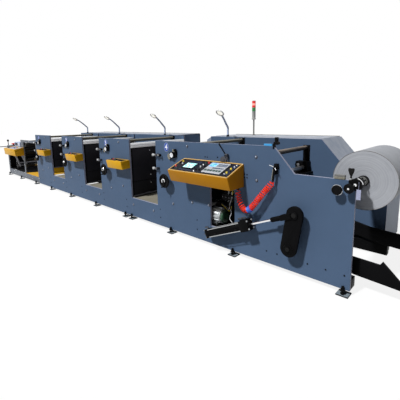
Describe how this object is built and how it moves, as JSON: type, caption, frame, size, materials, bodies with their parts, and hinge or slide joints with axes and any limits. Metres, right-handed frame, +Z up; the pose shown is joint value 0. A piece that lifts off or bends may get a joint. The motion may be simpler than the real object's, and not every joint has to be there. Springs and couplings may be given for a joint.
{
  "type": "flexographic printing press",
  "caption": "Long web-fed flexographic printing press with printing towers, a paper roll unwind, a lifting crank linkage and a rewind end.",
  "frame": {"origin": "on the floor, at the centre of the whole machine's box", "axes": "+X along the machine towards the unwind end, +Y away from the operator's side, +Z up"},
  "size_m": [11.95, 2.47, 2.11],
  "materials": {
    "wall_paint": "satin",
    "casing_paint": "satin",
    "frame_paint": "satin",
    "black_steel": "satin",
    "steel": "satin",
    "chrome": "polished",
    "yellow_paint": "satin",
    "console_paint": "satin",
    "dark_panel": "matte",
    "printing_plate": "matte",
    "light_cover": "satin",
    "pan_paint": "satin",
    "black_plastic": "matte",
    "motor_alloy": "cast",
    "paper": "matte",
    "lamp_metal": "satin",
    "signal_plastic": "glossy",
    "hose_red": "glossy"
  },
  "bodies": {
    "press": {"front_wall_units": "wall_paint", "front_wall_unwind": "wall_paint", "rear_wall_units": "wall_paint", "rear_wall_unwind": "wall_paint", "gear_housing_units": "wall_paint", "gear_housing_unwind": "casing_paint", "front_feet": "black_steel", "rear_feet": "black_steel", "base_rails": "frame_paint", "base_ties": "frame_paint", "impression_cylinders": "steel", "plate_cylinders": "printing_plate", "anilox_rollers": "chrome", "ink_covers": "black_plastic", "cover_beams": "light_cover", "drip_pans": "pan_paint", "guide_rollers": "steel", "top_rollers": "steel", "roller_brackets": "black_steel", "control_boxes": "yellow_paint", "console_body": "console_paint", "console_panel": "dark_panel", "pressure_dials": "black_plastic", "clamp_screws": "chrome", "drive_motor": "motor_alloy", "cylinder_pivot": "black_steel", "shaft_chucks": "steel", "tension_knobs": "black_plastic", "work_lamps": "lamp_metal", "signal_tower": "signal_plastic", "air_hose": "hose_red", "blow_gun": "chrome", "hose_fittings": "black_plastic", "brake_lever": "steel", "rewind_frame": "frame_paint", "rewind_rollers": "steel", "rewind_console": "console_paint", "guard_plates": "yellow_paint", "rewind_arms": "frame_paint", "rewind_knobs": "black_plastic", "rewind_end_panel": "black_steel"},
    "handwheel_1": {"handwheel_1": "black_plastic"},
    "handwheel_2": {"handwheel_2": "black_plastic"},
    "handwheel_3": {"handwheel_3": "black_plastic"},
    "handwheel_4": {"handwheel_4": "black_plastic"},
    "paper_roll": {"paper_roll": "paper", "air_shaft": "steel"},
    "lift_arms": {"lift_arms": "black_steel", "lift_shaft": "steel", "lift_lever": "black_steel"},
    "cylinder": {"lift_cylinder": "black_steel"},
    "rod": {"lift_rod": "chrome"}
  },
  "joints": [
    {"name": "handwheel_1_spin", "type": "hinge", "parent": "press", "child": "handwheel_1", "pos_m": [-2.675, -0.985, 0.855], "axis": [0, 1, 0], "continuous": true},
    {"name": "handwheel_2_spin", "type": "hinge", "parent": "press", "child": "handwheel_2", "pos_m": [-0.845, -0.985, 0.855], "axis": [0, 1, 0], "continuous": true},
    {"name": "handwheel_3_spin", "type": "hinge", "parent": "press", "child": "handwheel_3", "pos_m": [0.985, -0.985, 0.855], "axis": [0, 1, 0], "continuous": true},
    {"name": "handwheel_4_spin", "type": "hinge", "parent": "press", "child": "handwheel_4", "pos_m": [2.815, -0.985, 0.855], "axis": [0, 1, 0], "continuous": true},
    {"name": "roll_spin", "type": "hinge", "parent": "press", "child": "paper_roll", "pos_m": [5.509, -0.316, 1.143], "axis": [0, 1, 0], "continuous": true},
    {"name": "lift_swing", "type": "hinge", "parent": "press", "child": "lift_arms", "pos_m": [4.901, -0.905, 0.37], "axis": [0, -1, 0], "range_deg": [-6, 36]},
    {"name": "cylinder_tilt", "type": "hinge", "parent": "press", "child": "cylinder", "pos_m": [3.693, -1.019, 0.238], "axis": [0, -1, 0], "range_deg": [-1, 3.5]},
    {"name": "rod_slide", "type": "slide", "parent": "cylinder", "child": "rod", "axis": [0.9245, 0, 0.3811], "range_m": [-0.24, 0.04]}
  ],
  "couplings": [
    {"joint": "cylinder_tilt", "follows": "lift_swing", "ratio": 0.095},
    {"joint": "rod_slide", "follows": "lift_swing", "m_per_rad": -0.37}
  ]
}
